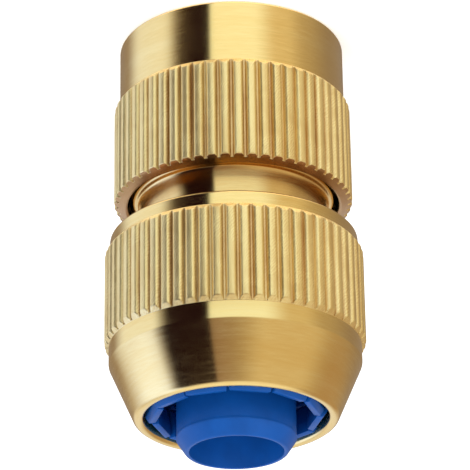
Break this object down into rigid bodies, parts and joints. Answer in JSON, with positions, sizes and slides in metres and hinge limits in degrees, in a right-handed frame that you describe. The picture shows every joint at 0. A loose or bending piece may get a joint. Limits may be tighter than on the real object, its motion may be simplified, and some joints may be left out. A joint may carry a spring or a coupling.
{
  "type": "brass hose quick connector",
  "caption": "Brass hose quick connector: a spring-loaded locking sleeve with claws on one end, a knurled clamping nut with a blue collet and hose stem on the other.",
  "frame": {"origin": "on the connector's axis, in the plane of the locking sleeve's front face, which it stands on", "axes": "+Z along the axis, from the plug socket towards the hose stem; X and Y are across, with the claws at 45 degrees to them"},
  "size_m": [0.0312, 0.0312, 0.0526],
  "materials": {
    "brass": "turned and knurled, fine circular brushing",
    "brass_body": "turned, fine circular brushing",
    "blue_plastic": "satin moulded plastic",
    "claw_plastic": "satin moulded plastic",
    "black_rubber": "matte rubber",
    "spring_steel": "bright drawn wire"
  },
  "bodies": {
    "fixed_body": {"body": "brass_body", "hose_stem": "blue_plastic", "stem_oring": "black_rubber", "snap_ring": "spring_steel"},
    "spring_carriage": {"spring": "spring_steel"},
    "locking_sleeve": {"sleeve": "brass"},
    "collet_carriage": {"collet": "blue_plastic"},
    "clamping_nut": {"nut": "brass"},
    "claw_1_slider": {"claw_1": "claw_plastic"},
    "claw_2_slider": {"claw_2": "claw_plastic"},
    "claw_3_slider": {"claw_3": "claw_plastic"},
    "claw_4_slider": {"claw_4": "claw_plastic"}
  },
  "joints": [
    {"name": "sleeve_slide", "type": "slide", "parent": "fixed_body", "child": "spring_carriage", "axis": [0, 0, 1], "range_m": [0, 0.0036], "stiffness_N_per_m": 1500, "springref_m": -0.0053, "deforming": ["spring"]},
    {"name": "sleeve_spin", "type": "hinge", "parent": "spring_carriage", "child": "locking_sleeve", "pos_m": [0, 0, 0], "axis": [0, 0, 1], "continuous": true},
    {"name": "nut_advance", "type": "slide", "parent": "fixed_body", "child": "collet_carriage", "axis": [0, 0, 1], "range_m": [0, 0.007]},
    {"name": "nut_turn", "type": "hinge", "parent": "collet_carriage", "child": "clamping_nut", "pos_m": [0, 0, 0], "axis": [0, 0, 1], "range_deg": [0, 1262]},
    {"name": "claw_1_lift", "type": "slide", "parent": "fixed_body", "child": "claw_1_slider", "axis": [0.7071, 0.7071, 0], "range_m": [0, 0.00095]},
    {"name": "claw_2_lift", "type": "slide", "parent": "fixed_body", "child": "claw_2_slider", "axis": [-0.7071, 0.7071, 0], "range_m": [0, 0.00095]},
    {"name": "claw_3_lift", "type": "slide", "parent": "fixed_body", "child": "claw_3_slider", "axis": [-0.7071, -0.7071, 0], "range_m": [0, 0.00095]},
    {"name": "claw_4_lift", "type": "slide", "parent": "fixed_body", "child": "claw_4_slider", "axis": [0.7071, -0.7071, 0], "range_m": [0, 0.00095]}
  ],
  "couplings": [
    {"joint": "nut_turn", "follows": "nut_advance", "rad_per_m": 3141.6},
    {"joint": "claw_1_lift", "follows": "sleeve_slide", "ratio": 0.25},
    {"joint": "claw_2_lift", "follows": "sleeve_slide", "ratio": 0.25},
    {"joint": "claw_3_lift", "follows": "sleeve_slide", "ratio": 0.25},
    {"joint": "claw_4_lift", "follows": "sleeve_slide", "ratio": 0.25}
  ]
}
